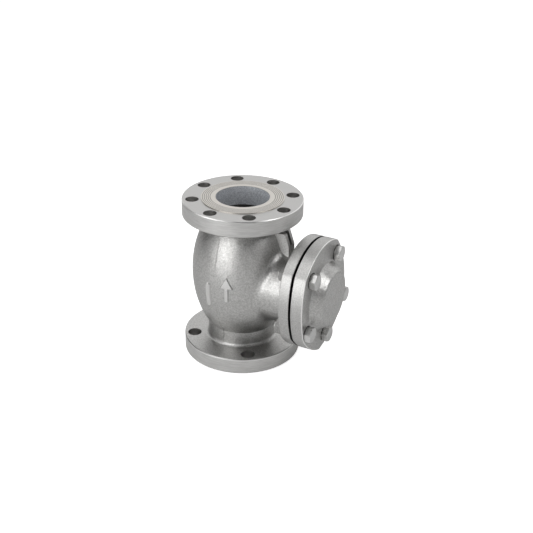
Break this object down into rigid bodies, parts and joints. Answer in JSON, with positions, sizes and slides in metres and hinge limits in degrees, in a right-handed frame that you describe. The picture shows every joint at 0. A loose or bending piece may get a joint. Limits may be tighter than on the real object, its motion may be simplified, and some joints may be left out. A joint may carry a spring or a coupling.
{
  "type": "swing check valve",
  "caption": "Flanged swing check valve with an upright round body, a side cover held by hex bolts, and a hinged disc that lets fluid pass one way.",
  "frame": {"origin": "centre of the inlet port in the plane of its raised face", "axes": "+Z is the flow direction from inlet to outlet, +X points out of the cover branch"},
  "size_m": [0.3109, 0.229, 0.322],
  "materials": {
    "cast_body": "bead blasted stainless casting, satin, with machined flange faces",
    "cast_cover": "bead blasted stainless casting, satin, machined rim",
    "bolting": "bright stainless bolting",
    "seat_trim": "lapped seat face, turned sides",
    "disc_trim": "turned stainless steel",
    "hinge_trim": "cast and machined stainless steel",
    "bush_trim": "turned bronze",
    "gasket": "dark graphite filled ring"
  },
  "bodies": {
    "root": {"valve_body": "cast_body", "seat_ring": "seat_trim", "bonnet_cover": "cast_cover", "cover_gasket": "gasket", "cover_bolts": "bolting", "cover_nuts": "bolting", "hinge_bracket": "hinge_trim", "bracket_screws": "bolting", "bracket_lock_washers": "bolting", "hinge_pin": "hinge_trim", "hinge_pin_washers": "bolting", "hinge_pin_split_pins": "bolting"},
    "arm": {"swing_arm": "hinge_trim", "arm_bush_left": "bush_trim", "arm_bush_right": "bush_trim"},
    "disc": {"disc": "disc_trim", "disc_washer": "bolting", "disc_nut": "bolting", "disc_split_pin": "bolting"}
  },
  "joints": [
    {"name": "arm_swing", "type": "hinge", "parent": "root", "child": "arm", "pos_m": [0.07, 0, 0.1207], "axis": [0, 1, 0], "range_deg": [0, 70]},
    {"name": "disc_spin", "type": "hinge", "parent": "arm", "child": "disc", "pos_m": [0, 0, 0.1138], "axis": [0, 0, 1], "continuous": true}
  ]
}
